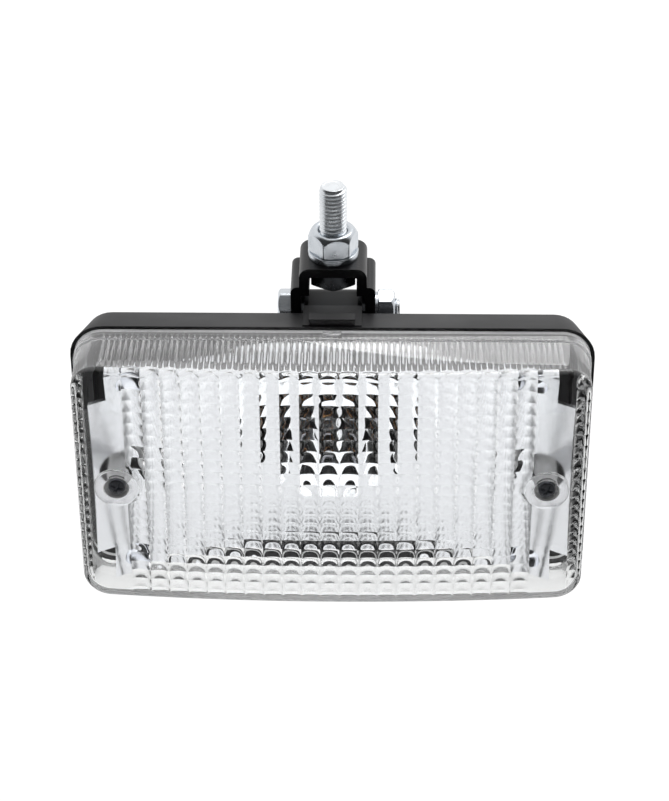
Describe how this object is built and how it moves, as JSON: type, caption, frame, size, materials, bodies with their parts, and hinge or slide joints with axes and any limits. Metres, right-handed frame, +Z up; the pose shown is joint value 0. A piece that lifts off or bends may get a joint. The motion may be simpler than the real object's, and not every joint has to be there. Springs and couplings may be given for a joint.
{
  "type": "fog light",
  "caption": "Rectangular fog light with a clear pillow-optic lens, black housing and bayonet bulb, hung from a tilting steel bracket with a threaded mounting stud.",
  "frame": {"origin": "on the axis of the mounting stud, level with the top face of the mounting nut, where the free thread starts", "axes": "+X to the right seen from the front of the lamp, +Y to the rear, +Z up along the mounting stud"},
  "size_m": [0.1516, 0.0745, 0.1181],
  "materials": {
    "bracket_black": "satin black powder coat on folded steel strip",
    "zinc_steel": "bright zinc plate",
    "housing_black": "black moulded plastic with a fine grain",
    "lens_clear": "clear moulded plastic, pillows and flutes on its inner faces",
    "seal_rubber": "black rubber",
    "screw_black": "black zinc",
    "reflector_coat": "bright metallised coat on a moulded dish",
    "bulb_glass": "clear thin glass",
    "brass": "plain brass",
    "bulb_insulator": "dark vitreous insulator",
    "tinned_steel": "tinned steel",
    "filament_wire": "drawn wire",
    "phenolic": "brown phenolic board",
    "spring_steel": "spring wire"
  },
  "bodies": {
    "mount": {"bracket": "bracket_black", "stud_bolt": "zinc_steel", "spring_washer": "zinc_steel", "mounting_nut": "zinc_steel", "pivot_bolt": "zinc_steel", "pivot_nut": "zinc_steel", "pivot_lock_washer": "zinc_steel", "friction_washers": "zinc_steel"},
    "lamp": {"housing": "housing_black", "lens": "lens_clear", "lens_gasket": "seal_rubber", "lens_screws": "screw_black", "screw_seals": "seal_rubber", "reflector": "reflector_coat", "bulb_glass": "bulb_glass", "bulb_base": "brass", "bulb_insulator": "bulb_insulator", "bulb_contact": "tinned_steel", "filament": "filament_wire", "filament_posts": "filament_wire", "socket_shell": "tinned_steel", "contact_plunger": "phenolic", "contact_pin": "brass", "contact_spring": "spring_steel", "socket_board": "phenolic", "board_screws": "zinc_steel", "live_terminal": "brass", "earth_terminal": "tinned_steel", "cable_grommet": "seal_rubber"}
  },
  "joints": [
    {"name": "lamp_tilt", "type": "hinge", "parent": "mount", "child": "lamp", "pos_m": [0, 0, -0.0272], "axis": [1, 0, 0], "range_deg": [-9, 75]}
  ]
}
